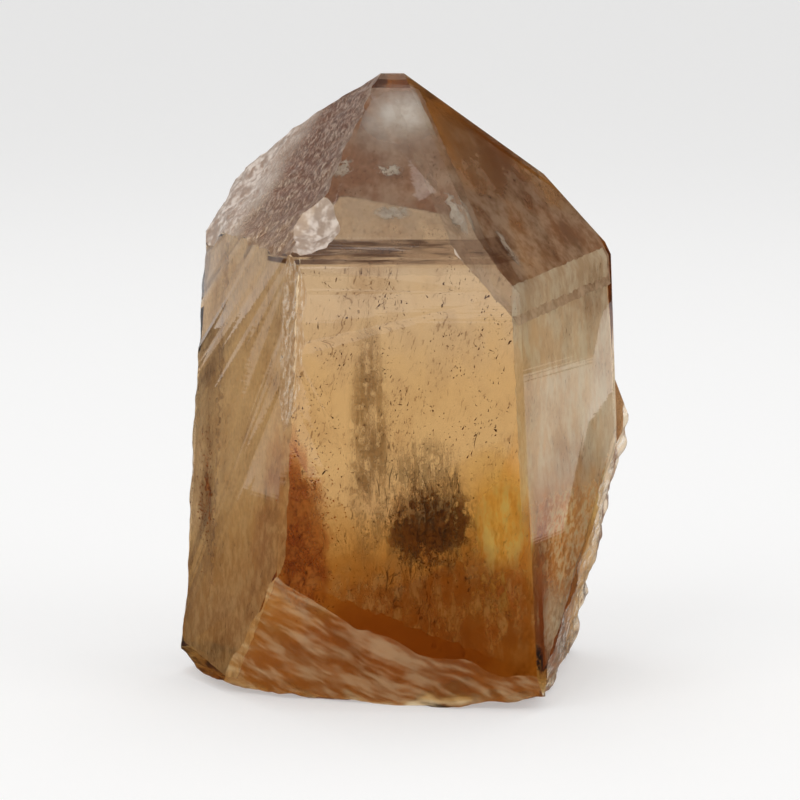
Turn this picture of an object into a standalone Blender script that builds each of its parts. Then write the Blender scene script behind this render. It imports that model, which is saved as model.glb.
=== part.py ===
"""A natural citrine point that stands on its broken base.

The frame has its origin under the middle of the crystal, at the level it rests on. +Z runs up the
crystal's long axis and the broad front prism face looks along -Y.
Lengths below are millimetres and angles are degrees; MM turns them into Blender's metres.
"""

import math

import bmesh
import bpy
from mathutils import Vector, noise

MM = 0.001

# The block that the faces are cut from, and where the crystal's axis stands so that its box is centred
BLOCK_SIDE = 120.0
AXIS_PLACE = (0.47, -0.06, 0.0)

# Quartz fixes the angles: prism faces every 60 degrees, end faces leaning back at one angle
RHOMB_RISE = 38.2

# Prism faces: azimuth from the front, turn upwards by the taper, distance from the axis at the base
PRISM_FACES = {
    "front": (0.0, 1.4, 22.4),
    "right_front": (63.5, 3.2, 26.8),
    "right_back": (120.0, 0.6, 32.4),
    "back": (180.0, 1.0, 22.4),
    "left_back": (240.0, 3.7, 33.9),
    "left_front": (300.0, 3.3, 28.8),
}

# End faces: azimuth from the front, height at which the face would cross the axis
END_FACES = {
    "front_right_end": (60.0, 91.8),
    "back_right_end": (120.0, 106.2),
    "back_end": (180.0, 90.7),
    "back_left_end": (240.0, 117.5),
}
FRONT_END_CROSSING = 93.4

# The growth steps where the front end face turns into the front prism face, top to bottom
STEP_TOP_HEIGHT = 69.2
STEP_RUNS = ((10.0, 0.9), (40.0, 0.55), (8.0, 0.9), (36.0, 0.5), (14.0, 1.0))

# A small crystal grown against the right side: faces as azimuth, rise and distance from its seat
SIDE_SEAT = (24.0, 9.0, 28.0)
SIDE_FACES = (
    (63.5, 3.2, 7.2),
    (92.0, 22.9, 13.7),
    (92.0, 0.0, 10.4),
    (120.0, 0.6, 12.0),
    (180.0, 2.0, 8.5),
    (0.0, 0.0, 12.0),
)
SIDE_BLOCK = 64.0

CELL = 1.5
SLAB_THICKNESS = 30.0


def outward(azimuth, rise):
    """The outward direction of a face that looks to this azimuth and leans up by rise."""
    turn = math.radians(azimuth)
    lean = math.radians(rise)
    return Vector(
        (math.sin(turn) * math.cos(lean), -math.cos(turn) * math.cos(lean), math.sin(lean))
    )


def cut_flat(mesh, point, direction):
    """Cuts the block along a plane and caps the cut, so that one flat face is left."""
    parts = list(mesh.verts) + list(mesh.edges) + list(mesh.faces)
    cut = bmesh.ops.bisect_plane(
        mesh, geom=parts, plane_co=point, plane_no=direction, clear_outer=True, dist=1e-7
    )
    rim = [part for part in cut["geom_cut"] if isinstance(part, bmesh.types.BMEdge)]
    if rim:
        bmesh.ops.contextual_create(mesh, geom=rim)


def new_object(name, mesh):
    """Stores a bmesh as an object in the scene."""
    data = bpy.data.meshes.new(name)
    bmesh.ops.recalc_face_normals(mesh, faces=mesh.faces)
    bmesh.ops.translate(mesh, verts=mesh.verts, vec=Vector(AXIS_PLACE) * MM)
    mesh.to_mesh(data)
    mesh.free()
    made = bpy.data.objects.new(name, data)
    bpy.context.scene.collection.objects.link(made)
    return made


def as_cutter(made):
    """Marks an object as a helper that isn't part of the crystal."""
    made.hide_render = True
    made.display_type = "WIRE"
    return made


def combine(body, other, operation):
    """Adds a Boolean with the other object to the crystal."""
    step = body.modifiers.new(f"{operation.lower()} {other.name}", "BOOLEAN")
    step.operation = operation
    step.solver = "EXACT"
    step.object = other


def main_crystal():
    """The six-sided prism with its end faces, still sharp and whole."""
    mesh = bmesh.new()
    bmesh.ops.create_cube(mesh, size=BLOCK_SIDE * MM)
    bmesh.ops.translate(mesh, verts=mesh.verts, vec=(0, 0, (BLOCK_SIDE / 2 - 3.0) * MM))
    for name, (azimuth, taper, distance) in PRISM_FACES.items():
        if name != "front":
            direction = outward(azimuth, taper)
            cut_flat(mesh, Vector((direction.x, direction.y, 0)).normalized() * distance * MM, direction)
    for azimuth, crossing in END_FACES.values():
        cut_flat(mesh, Vector((0, 0, crossing * MM)), outward(azimuth, RHOMB_RISE))
    return new_object("citrine_crystal", mesh)


def front_profile():
    """The crystal's outline in the plane that cuts the front face in half, as (y, z) from the tip down."""
    lean = math.radians(RHOMB_RISE)
    depth = -(FRONT_END_CROSSING - STEP_TOP_HEIGHT) * math.tan(lean)
    over_tip = 20.0
    points = [
        (over_tip, FRONT_END_CROSSING + over_tip / math.tan(lean)),
        (depth, STEP_TOP_HEIGHT),
    ]
    height = STEP_TOP_HEIGHT
    for rise, drop in STEP_RUNS:
        height -= drop
        depth -= drop * math.tan(math.radians(rise))
        points.append((depth, height))
    taper = math.tan(math.radians(PRISM_FACES["front"][1]))
    face_depth = -PRISM_FACES["front"][2] + height * taper
    points.append((face_depth, height - (depth - face_depth) / math.tan(lean)))
    points.append((-PRISM_FACES["front"][2] - 5.0 * taper, -5.0))
    return points


def front_cutter():
    """Everything in front of the front profile, as one prism across the crystal."""
    inner = front_profile()
    outer = [(-70.0, -5.0), (-70.0, 130.0), (20.0, 130.0)]
    half_width = 60.0
    mesh = bmesh.new()
    loop = [mesh.verts.new((-half_width * MM, y * MM, z * MM)) for y, z in inner + outer]
    face = mesh.faces.new(loop)
    grown = bmesh.ops.extrude_face_region(mesh, geom=[face])
    moved = [part for part in grown["geom"] if isinstance(part, bmesh.types.BMVert)]
    bmesh.ops.translate(mesh, verts=moved, vec=(2 * half_width * MM, 0, 0))
    return as_cutter(new_object("front_of_crystal", mesh))


def side_crystal():
    """The small crystal against the right side, before it is joined on."""
    mesh = bmesh.new()
    bmesh.ops.create_cube(mesh, size=SIDE_BLOCK * MM)
    for azimuth, rise, distance in SIDE_FACES:
        direction = outward(azimuth, rise)
        cut_flat(mesh, direction * distance * MM, direction)
    bmesh.ops.translate(mesh, verts=mesh.verts, vec=Vector(SIDE_SEAT) * MM)
    return as_cutter(new_object("side_growth", mesh))


def rough(point, size, octaves, seed):
    """Fractal noise from about -1 to 1 with bumps of this size, in millimetres."""
    place = Vector((point[0] / size + seed, point[1] / size - seed, 0.37 * seed))
    return noise.fractal(place, 0.9, 2.1, octaves)


def slab(name, azimuth, rise, point, spans, height):
    """A thick slab whose inner side is the broken surface. height gives its relief at (u, v) in millimetres.

    u runs to the right across the surface and v runs up it, both from point.
    """
    direction = outward(azimuth, rise)
    across = Vector((math.cos(math.radians(azimuth)), math.sin(math.radians(azimuth)), 0))
    upwards = direction.cross(across)
    columns = max(2, round(spans[0] / CELL))
    rows = max(2, round(spans[1] / CELL))
    mesh = bmesh.new()
    grid = []
    for row in range(rows + 1):
        v = (row / rows - 0.5) * spans[1]
        line = []
        for column in range(columns + 1):
            u = (column / columns - 0.5) * spans[0]
            place = Vector(point) + across * u + upwards * v + direction * height(u, v)
            line.append(mesh.verts.new(place * MM))
        grid.append(line)
    for low, high in zip(grid, grid[1:]):
        for near, far, far_up, near_up in zip(low, low[1:], high[1:], high):
            mesh.faces.new((near, far, far_up))
            mesh.faces.new((near, far_up, near_up))
    rim = [edge for edge in mesh.edges if edge.is_boundary]
    walls = bmesh.ops.extrude_edge_only(mesh, edges=rim)["geom"]
    top = [part for part in walls if isinstance(part, bmesh.types.BMVert)]
    for vert in top:
        level = (vert.co / MM - Vector(point)).dot(direction)
        vert.co += direction * (SLAB_THICKNESS - level) * MM
    bmesh.ops.contextual_create(mesh, geom=[edge for edge in mesh.edges if edge.is_boundary])
    return as_cutter(new_object(name, mesh))


def etched_end(u, v):
    """Shingled relief of the etched left end face, drawn out along its slope."""
    along = 0.77 * u + 0.64 * v
    across = -0.64 * u + 0.77 * v
    return 0.55 * rough((0.45 * along, across), 3.6, 3, 3.0) + 0.25 * rough((u, v), 11.0, 2, 7.5)


def worn_shoulder(u, v):
    """Low lumps of the frosted left shoulder."""
    return 0.9 * rough((u, v), 7.0, 3, 11.0)


def front_break(u, v):
    """The shell-shaped break low on the front, with ripples around the point that was struck."""
    radius = math.hypot(u + 34.0, v + 20.0)
    ripples = 0.28 * math.sin(2 * math.pi * radius / 8.5) * math.exp(-(((radius - 30.0) / 24.0) ** 2))
    bow = 1.6 - 0.0042 * (u - 4.0) ** 2
    return bow + ripples + 0.75 * rough((u, v), 10.0, 3, 19.0)


def right_break(u, v):
    """The break down the right side, with long ridges that climb to the right."""
    ridge = 0.3 * math.sin(2 * math.pi * (v - 0.55 * u) / 5.2)
    return ridge + 0.9 * rough((u, v), 8.0, 3, 23.0)


def foot_break(u, v):
    """The break that takes off the lower left corner."""
    return 0.8 - 0.01 * u * u + 0.8 * rough((u, v), 7.0, 3, 29.0)


def base_break(u, v):
    """The rough base, low near its middle so that the crystal has a place to stand on."""
    dome = 0.0022 * (u * u + 1.6 * v * v)
    return 0.6 - dome + 1.1 * rough((u, v), 9.0, 3, 31.0)


def chipped_edge(u, v):
    """Small bites along the left edge of the prism."""
    return 0.6 * rough((u, 0.6 * v), 5.0, 3, 41.0)


def bruised_edge(u, v):
    """The bruise where the front and the left front prism faces meet, fading out up and down."""
    fade = 1.6 * (abs(v) / 16.0) ** 3
    return fade + 0.4 * rough((u, v), 4.5, 3, 47.0)


def chip(name, centre, radii, seed):
    """A shallow scoop knocked out of an edge."""
    mesh = bmesh.new()
    bmesh.ops.create_icosphere(mesh, subdivisions=3, radius=1.0)
    for vert in mesh.verts:
        swell = 1.0 + 0.10 * noise.fractal(vert.co * 1.6 + Vector((seed, seed, 0)), 0.9, 2.1, 3)
        vert.co = (Vector(centre) + Vector([r * c * swell for r, c in zip(radii, vert.co)])) * MM
    return as_cutter(new_object(name, mesh))


def breaks():
    """Every piece that is broken, etched or chipped away, as cutters."""
    return (
        slab("etched_left_end", 304.8, 39.5, (-17.3, -9.3, 73.6), (54.0, 66.0), etched_end),
        slab("worn_left_shoulder", 290.0, 38.0, (-21.3, 0.8, 77.3), (46.0, 60.0), worn_shoulder),
        slab("broken_front", 349.0, -25.0, (-4.0, -21.0, 12.4), (74.0, 46.0), front_break),
        slab("broken_right", 80.0, -13.0, (27.9, 8.0, 18.0), (58.0, 70.0), right_break),
        slab("broken_left_foot", 290.0, -42.0, (-31.4, -2.4, 2.6), (40.0, 26.0), foot_break),
        slab("broken_base", 0.0, -90.0, (0.0, 0.0, 0.0), (84.0, 66.0), base_break),
        slab("chipped_left_edge", 270.0, 3.7, (-32.9, 3.0, 34.0), (18.0, 72.0), chipped_edge),
        slab("bruised_front_edge", 331.0, 2.4, (-17.6, -19.6, 57.0), (14.0, 36.0), bruised_edge),
        chip("front_corner_chip", (-15.5, -22.3, 75.0), (8.0, 8.0, 8.4), 5.0),
        chip("right_ridge_chip", (11.9, 3.6, 84.6), (1.8, 1.6, 0.9), 9.0),
    )


def level_base():
    """Trims the lowest points of the base to one level, which is what the crystal stands on."""
    mesh = bmesh.new()
    bmesh.ops.create_cube(mesh, size=BLOCK_SIDE * MM)
    bmesh.ops.translate(mesh, verts=mesh.verts, vec=(0, 0, -BLOCK_SIDE / 2 * MM))
    return as_cutter(new_object("level_base", mesh))


def citrine():
    """Clear honey-coloured quartz."""
    material = bpy.data.materials.new("citrine")
    material.use_nodes = True
    shader = material.node_tree.nodes["Principled BSDF"]
    shader.inputs["Base Color"].default_value = (0.62, 0.36, 0.13, 1)
    shader.inputs["Roughness"].default_value = 0.08
    shader.inputs["Metallic"].default_value = 0.0
    shader.inputs["IOR"].default_value = 1.544
    shader.inputs["Transmission Weight"].default_value = 0.8
    return material


def main():
    for old in list(bpy.data.objects):
        bpy.data.objects.remove(old)
    crystal = main_crystal()
    combine(crystal, front_cutter(), "DIFFERENCE")
    combine(crystal, side_crystal(), "UNION")
    for cutter in breaks():
        combine(crystal, cutter, "DIFFERENCE")
    combine(crystal, level_base(), "DIFFERENCE")
    crystal.data.materials.append(citrine())


main()
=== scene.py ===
import math
import random

import bmesh
import bpy
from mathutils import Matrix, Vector, noise


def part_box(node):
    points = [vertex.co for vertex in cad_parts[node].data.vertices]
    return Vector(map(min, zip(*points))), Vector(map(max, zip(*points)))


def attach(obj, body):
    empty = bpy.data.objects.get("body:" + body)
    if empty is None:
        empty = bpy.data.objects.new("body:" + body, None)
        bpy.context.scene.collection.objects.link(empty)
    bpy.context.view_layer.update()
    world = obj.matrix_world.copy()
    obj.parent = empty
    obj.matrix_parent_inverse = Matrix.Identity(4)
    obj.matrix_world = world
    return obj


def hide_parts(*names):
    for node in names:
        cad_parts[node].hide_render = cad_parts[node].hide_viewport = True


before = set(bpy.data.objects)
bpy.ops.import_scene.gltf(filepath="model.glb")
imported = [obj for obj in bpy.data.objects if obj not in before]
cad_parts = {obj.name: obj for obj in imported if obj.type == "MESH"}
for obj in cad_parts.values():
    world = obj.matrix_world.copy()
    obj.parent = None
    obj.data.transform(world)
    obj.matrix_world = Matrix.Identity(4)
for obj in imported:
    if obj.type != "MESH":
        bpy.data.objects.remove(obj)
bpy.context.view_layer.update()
mm = 0.001
print("frame loaded")


# Shared helpers; lengths below are millimetres and angles degrees, as in the model's own source

def outward(azimuth, rise):
    turn = math.radians(azimuth)
    lean = math.radians(rise)
    return Vector((math.sin(turn) * math.cos(lean), -math.cos(turn) * math.cos(lean), math.sin(lean)))


def fractal(point, size, octaves, seed):
    place = Vector((point[0] / size + seed, point[1] / size - seed, 0.37 * seed))
    return noise.fractal(place, 0.9, 2.1, octaves)


def addObject(name, data):
    made = bpy.data.objects.new(name, data)
    bpy.context.scene.collection.objects.link(made)
    return made


def meshObject(name, mesh, move=(0.0, 0.0, 0.0)):
    bmesh.ops.recalc_face_normals(mesh, faces=mesh.faces)
    bmesh.ops.translate(mesh, verts=mesh.verts, vec=Vector(move) * mm)
    data = bpy.data.meshes.new(name)
    mesh.to_mesh(data)
    mesh.free()
    return addObject(name, data)


class Graph:
    # a short way to write a material's nodes: every call adds a node, wires what it is given
    # and gives its output

    def __init__(self, name):
        self.material = bpy.data.materials.new(name)
        self.material.use_nodes = True
        self.tree = self.material.node_tree
        self.tree.nodes.clear()

    def put(self, socket, value):
        if isinstance(value, bpy.types.NodeSocket):
            self.tree.links.new(value, socket)
        elif isinstance(value, tuple) and len(value) == 3 and socket.type == "RGBA":
            socket.default_value = (*value, 1.0)
        else:
            socket.default_value = value

    def node(self, kind, out=0, options=None, **inputs):
        made = self.tree.nodes.new(kind)
        for key, value in (options or {}).items():
            setattr(made, key, value)
        for key, value in inputs.items():
            self.put(made.inputs[key.replace("_", " ")], value)
        return made.outputs[out]

    def math(self, operation, a, b=0.0, c=0.0):
        made = self.tree.nodes.new("ShaderNodeMath")
        made.operation = operation
        for socket, value in zip(made.inputs, (a, b, c)):
            self.put(socket, value)
        return made.outputs[0]

    def span(self, value, low, high, toLow=0.0, toHigh=1.0, smooth=True):
        made = self.tree.nodes.new("ShaderNodeMapRange")
        made.interpolation_type = "SMOOTHSTEP" if smooth else "LINEAR"
        for socket, item in zip(made.inputs, (value, low, high, toLow, toHigh)):
            self.put(socket, item)
        return made.outputs[0]

    def mix(self, factor, a, b, blend="MIX"):
        made = self.tree.nodes.new("ShaderNodeMix")
        made.data_type = "RGBA"
        made.blend_type = blend
        self.put(made.inputs[0], factor)
        self.put(made.inputs[6], a)
        self.put(made.inputs[7], b)
        return made.outputs[2]

    def place(self, scale=(1.0, 1.0, 1.0), along=None):
        # object coordinates in millimetres, turned so that z runs along the given line, then scaled
        coords = self.node("ShaderNodeTexCoord", out=3)
        made = self.tree.nodes.new("ShaderNodeMapping")
        made.vector_type = "TEXTURE"
        self.put(made.inputs["Vector"], coords)
        if along is not None:
            made.inputs["Rotation"].default_value = Vector(along).to_track_quat("Z", "Y").to_euler()
        made.inputs["Scale"].default_value = [mm / factor for factor in scale]
        return made.outputs[0]

    def noise(self, vector, scale=1.0, detail=4.0, rough=0.55):
        return self.node("ShaderNodeTexNoise", Vector=vector, Scale=scale, Detail=detail, Roughness=rough)

    def dot(self, vector, direction):
        made = self.tree.nodes.new("ShaderNodeVectorMath")
        made.operation = "DOT_PRODUCT"
        self.put(made.inputs[0], vector)
        made.inputs[1].default_value = direction
        return made.outputs["Value"]

    def choose(self, factor, a, b):
        made = self.tree.nodes.new("ShaderNodeMix")
        made.data_type = "VECTOR"
        for index, value in ((0, factor), (4, a), (5, b)):
            self.put(made.inputs[index], value)
        return made.outputs[1]

    def split(self, vector):
        made = self.tree.nodes.new("ShaderNodeSeparateXYZ")
        self.put(made.inputs[0], vector)
        return made.outputs

    def finish(self, surface, volume=None):
        out = self.tree.nodes.new("ShaderNodeOutputMaterial")
        self.put(out.inputs["Surface"], surface)
        if volume is not None:
            self.put(out.inputs["Volume"], volume)
        return self.material


# The crystal's own solid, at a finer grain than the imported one

crystal = {
    "axisPlace": (0.47, -0.06, 0.0),
    "block": 120.0,
    "rhombRise": 38.2,
    "prismFaces": {  # azimuth, taper, distance from the axis at the base
        "front": (0.0, 1.4, 22.4),
        "rightFront": (63.5, 3.2, 26.8),
        "rightBack": (120.0, 0.6, 32.4),
        "back": (180.0, 1.0, 22.4),
        "leftBack": (240.0, 3.7, 33.9),
        "leftFront": (300.0, 3.3, 28.8),
    },
    "endFaces": ((60.0, 91.8), (120.0, 106.2), (180.0, 90.7), (240.0, 117.5)),  # azimuth, axis crossing
    "frontEndCrossing": 93.4,
    "stepTop": 69.2,
    "stepRuns": ((10.0, 0.9), (40.0, 0.55), (8.0, 0.9), (36.0, 0.5), (14.0, 1.0)),
    "sideSeat": (24.0, 9.0, 28.0),
    "sideFaces": (
        (63.5, 3.2, 7.2), (92.0, 22.9, 13.7), (92.0, 0.0, 10.4),
        (120.0, 0.6, 12.0), (180.0, 2.0, 8.5), (0.0, 0.0, 12.0),
    ),
    "sideBlock": 64.0,
    "cell": 0.5,
    "slabDepth": 30.0,
    "smoothBelow": 38.0,
}

surfaceKinds = ("natural", "etched", "broken", "ridged", "frosted", "bruised", "base")
kindMaterials = {kind: bpy.data.materials.new(f"kind_{kind}") for kind in surfaceKinds}


def cutFlat(mesh, point, direction):
    parts = list(mesh.verts) + list(mesh.edges) + list(mesh.faces)
    cut = bmesh.ops.bisect_plane(
        mesh, geom=parts, plane_co=point, plane_no=direction, clear_outer=True, dist=1e-7
    )
    rim = [part for part in cut["geom_cut"] if isinstance(part, bmesh.types.BMEdge)]
    if rim:
        bmesh.ops.contextual_create(mesh, geom=rim)


def crystalPart(name, mesh, kind="natural"):
    made = meshObject(name, mesh, crystal["axisPlace"])
    made.data.materials.append(kindMaterials[kind])
    return made


def mainCrystal():
    mesh = bmesh.new()
    bmesh.ops.create_cube(mesh, size=crystal["block"] * mm)
    bmesh.ops.translate(mesh, verts=mesh.verts, vec=(0, 0, (crystal["block"] / 2 - 3.0) * mm))
    for name, (azimuth, taper, distance) in crystal["prismFaces"].items():
        if name != "front":
            direction = outward(azimuth, taper)
            level = Vector((direction.x, direction.y, 0)).normalized()
            cutFlat(mesh, level * distance * mm, direction)
    for azimuth, crossing in crystal["endFaces"]:
        cutFlat(mesh, Vector((0, 0, crossing * mm)), outward(azimuth, crystal["rhombRise"]))
    return crystalPart("crystal", mesh)


def frontCutter():
    lean = math.tan(math.radians(crystal["rhombRise"]))
    crossing = crystal["frontEndCrossing"]
    height = crystal["stepTop"]
    depth = -(crossing - height) * lean
    points = [(20.0, crossing + 20.0 / lean), (depth, height)]
    for rise, drop in crystal["stepRuns"]:
        height -= drop
        depth -= drop * math.tan(math.radians(rise))
        points.append((depth, height))
    taper = math.tan(math.radians(crystal["prismFaces"]["front"][1]))
    distance = crystal["prismFaces"]["front"][2]
    faceDepth = -distance + height * taper
    points.append((faceDepth, height - (depth - faceDepth) / lean))
    points.append((-distance - 5.0 * taper, -5.0))
    points += [(-70.0, -5.0), (-70.0, 130.0), (20.0, 130.0)]
    mesh = bmesh.new()
    face = mesh.faces.new([mesh.verts.new((-60.0 * mm, y * mm, z * mm)) for y, z in points])
    grown = bmesh.ops.extrude_face_region(mesh, geom=[face])
    moved = [part for part in grown["geom"] if isinstance(part, bmesh.types.BMVert)]
    bmesh.ops.translate(mesh, verts=moved, vec=(120.0 * mm, 0, 0))
    return crystalPart("frontOfCrystal", mesh)


def sideCrystal():
    mesh = bmesh.new()
    bmesh.ops.create_cube(mesh, size=crystal["sideBlock"] * mm)
    for azimuth, rise, distance in crystal["sideFaces"]:
        direction = outward(azimuth, rise)
        cutFlat(mesh, direction * distance * mm, direction)
    bmesh.ops.translate(mesh, verts=mesh.verts, vec=Vector(crystal["sideSeat"]) * mm)
    return crystalPart("sideGrowth", mesh)


def slab(name, face):
    # a thick slab whose inner side is the worn or broken surface; u runs to the right and v up from its point
    direction = outward(*face["facing"])
    turn = math.radians(face["facing"][0])
    across = Vector((math.cos(turn), math.sin(turn), 0))
    point, spans, height = Vector(face["point"]), face["spans"], face["height"]
    upwards = direction.cross(across)
    columns = max(2, round(spans[0] / crystal["cell"]))
    rows = max(2, round(spans[1] / crystal["cell"]))
    mesh = bmesh.new()
    grid = []
    for row in range(rows + 1):
        v = (row / rows - 0.5) * spans[1]
        line = []
        for column in range(columns + 1):
            u = (column / columns - 0.5) * spans[0]
            spot = point + across * u + upwards * v + direction * height(u, v)
            line.append(mesh.verts.new(spot * mm))
        grid.append(line)
    for low, high in zip(grid, grid[1:]):
        for near, far, farUp, nearUp in zip(low, low[1:], high[1:], high):
            mesh.faces.new((near, far, farUp))
            mesh.faces.new((near, farUp, nearUp))
    rim = [edge for edge in mesh.edges if edge.is_boundary]
    walls = bmesh.ops.extrude_edge_only(mesh, edges=rim)["geom"]
    for vert in (part for part in walls if isinstance(part, bmesh.types.BMVert)):
        level = (vert.co / mm - point).dot(direction)
        vert.co += direction * (crystal["slabDepth"] - level) * mm
    bmesh.ops.contextual_create(mesh, geom=[edge for edge in mesh.edges if edge.is_boundary])
    return crystalPart(name, mesh, face["kind"])


def etchedEnd(u, v):
    along = 0.77 * u + 0.64 * v
    across = -0.64 * u + 0.77 * v
    coarse = 0.55 * fractal((0.45 * along, across), 3.6, 3, 3.0) + 0.25 * fractal((u, v), 11.0, 2, 7.5)
    scales = 0.16 * abs(fractal((0.35 * along, across), 1.5, 3, 13.0))
    return coarse + scales - 0.05


def wornShoulder(u, v):
    return 0.9 * fractal((u, v), 7.0, 4, 11.0) + 0.08 * fractal((u, v), 1.3, 2, 5.0)


def frontBreak(u, v):
    radius = math.hypot(u + 34.0, v + 20.0)
    ripples = 0.28 * math.sin(2 * math.pi * radius / 8.5) * math.exp(-(((radius - 30.0) / 24.0) ** 2))
    bow = 1.6 - 0.0042 * (u - 4.0) ** 2
    fine = 0.07 * abs(fractal((u, 1.8 * v), 2.6, 3, 5.0))
    return bow + ripples + 0.75 * fractal((u, v), 10.0, 3, 19.0) + fine


def rightBreak(u, v):
    ridge = 0.3 * math.sin(2 * math.pi * (v - 0.55 * u) / 5.2)
    hackles = 0.12 * fractal((0.3 * (u + 0.55 * v), v - 0.55 * u), 1.1, 3, 9.0)
    return ridge + 0.9 * fractal((u, v), 8.0, 3, 23.0) + hackles


def footBreak(u, v):
    return 0.8 - 0.01 * u * u + 0.8 * fractal((u, v), 7.0, 4, 29.0)


def baseBreak(u, v):
    dome = 0.0022 * (u * u + 1.6 * v * v)
    return 0.6 - dome + 1.1 * fractal((u, v), 9.0, 4, 31.0)


def chippedEdge(u, v):
    return 0.6 * fractal((u, 0.6 * v), 5.0, 3, 41.0) + 0.06 * fractal((u, v), 1.2, 2, 17.0)


def bruisedEdge(u, v):
    fade = 1.6 * (abs(v) / 16.0) ** 3
    return fade + 0.4 * fractal((u, v), 4.5, 3, 47.0) + 0.09 * fractal((u, v), 1.1, 2, 15.0)


def chip(name, kind, centre, radii, seed):
    mesh = bmesh.new()
    bmesh.ops.create_icosphere(mesh, subdivisions=5, radius=1.0)
    for vert in mesh.verts:
        swell = 1.0 + 0.10 * noise.fractal(vert.co * 1.6 + Vector((seed, seed, 0)), 0.9, 2.1, 3)
        vert.co = (Vector(centre) + Vector([r * c * swell for r, c in zip(radii, vert.co)])) * mm
    return crystalPart(name, mesh, kind)


def levelBase():
    mesh = bmesh.new()
    bmesh.ops.create_cube(mesh, size=crystal["block"] * mm)
    bmesh.ops.translate(mesh, verts=mesh.verts, vec=(0, 0, -crystal["block"] / 2 * mm))
    return crystalPart("levelBase", mesh, "base")


def combine(body, other, operation):
    step = body.modifiers.new(other.name, "BOOLEAN")
    step.operation = operation
    step.solver = "EXACT"
    step.material_mode = "TRANSFER"
    step.object = other


def applied(made):
    # the evaluated mesh takes the place of the modifiers
    graph = bpy.context.evaluated_depsgraph_get()
    data = bpy.data.meshes.new_from_object(made.evaluated_get(graph))
    made.modifiers.clear()
    made.data = data
    return made


# facing is azimuth and rise; what lies inside ends at reach behind the plane, unless that is None
wornFaces = {
    "etchedLeftEnd": {
        "kind": "etched", "facing": (304.8, 39.5), "point": (-17.3, -9.3, 73.6), "spans": (54.0, 66.0),
        "height": etchedEnd, "reach": 0.4,
    },
    "wornLeftShoulder": {
        "kind": "frosted", "facing": (290.0, 38.0), "point": (-21.3, 0.8, 77.3), "spans": (46.0, 60.0),
        "height": wornShoulder, "reach": 0.8,
    },
    "brokenFront": {
        "kind": "broken", "facing": (349.0, -25.0), "point": (-4.0, -21.0, 12.4), "spans": (74.0, 46.0),
        "height": frontBreak, "reach": 1.2,
    },
    "brokenRight": {
        "kind": "ridged", "facing": (80.0, -13.0), "point": (27.9, 8.0, 18.0), "spans": (58.0, 70.0),
        "height": rightBreak, "reach": 1.2,
    },
    "brokenLeftFoot": {
        "kind": "ridged", "facing": (290.0, -42.0), "point": (-31.4, -2.4, 2.6), "spans": (40.0, 26.0),
        "height": footBreak, "reach": 1.0,
    },
    "brokenBase": {
        "kind": "base", "facing": (0.0, -90.0), "point": (0.0, 0.0, 0.0), "spans": (84.0, 66.0),
        "height": baseBreak, "reach": 2.0,
    },
    "chippedLeftEdge": {
        "kind": "frosted", "facing": (270.0, 3.7), "point": (-32.9, 3.0, 34.0), "spans": (18.0, 72.0),
        "height": chippedEdge, "reach": 0.5,
    },
    "bruisedFrontEdge": {
        "kind": "bruised", "facing": (331.0, 2.4), "point": (-17.6, -19.6, 57.0), "spans": (14.0, 36.0),
        "height": bruisedEdge, "reach": None,
    },
}
chips = {  # kind, centre, radii, seed
    "frontCornerChip": ("frosted", (-15.5, -22.3, 75.0), (8.0, 8.0, 8.4), 5.0),
    "rightRidgeChip": ("frosted", (11.9, 3.6, 84.6), (1.8, 1.6, 0.9), 9.0),
}


def fineCrystal():
    body = mainCrystal()
    steps = [(frontCutter(), "DIFFERENCE"), (sideCrystal(), "UNION")]
    steps += [(slab(name, face), "DIFFERENCE") for name, face in wornFaces.items()]
    steps += [(chip(name, *values), "DIFFERENCE") for name, values in chips.items()]
    steps.append((levelBase(), "DIFFERENCE"))
    for cutter, operation in steps:
        combine(body, cutter, operation)
    applied(body)
    for cutter, _ in steps:
        bpy.data.objects.remove(cutter)
    return body


body = fineCrystal()
body.name = "clear_crystal"
print("crystal cut:", len(body.data.polygons), "faces")

# each face keeps what kind of surface it is, and rough surfaces are shaded smooth
kindNames = [slot.name.replace("kind_", "") if slot else "natural" for slot in body.data.materials]
kindOf = [kindNames[face.material_index] for face in body.data.polygons]
for kind in surfaceKinds[1:]:
    layer = body.data.attributes.new(kind, "FLOAT", "FACE")
    layer.data.foreach_set("value", [1.0 if item == kind else 0.0 for item in kindOf])
body.data.polygons.foreach_set("use_smooth", [item != "natural" for item in kindOf])
body.data.set_sharp_from_angle(angle=math.radians(crystal["smoothBelow"]))
low, high = (Vector(corner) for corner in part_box("citrine_crystal"))
for vert in body.data.vertices:
    vert.co = [min(max(value, floor), roof) for value, floor, roof in zip(vert.co, low, high)]
body.data.materials.clear()
print("surface kinds:", {kind: kindOf.count(kind) for kind in surfaceKinds})

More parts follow.
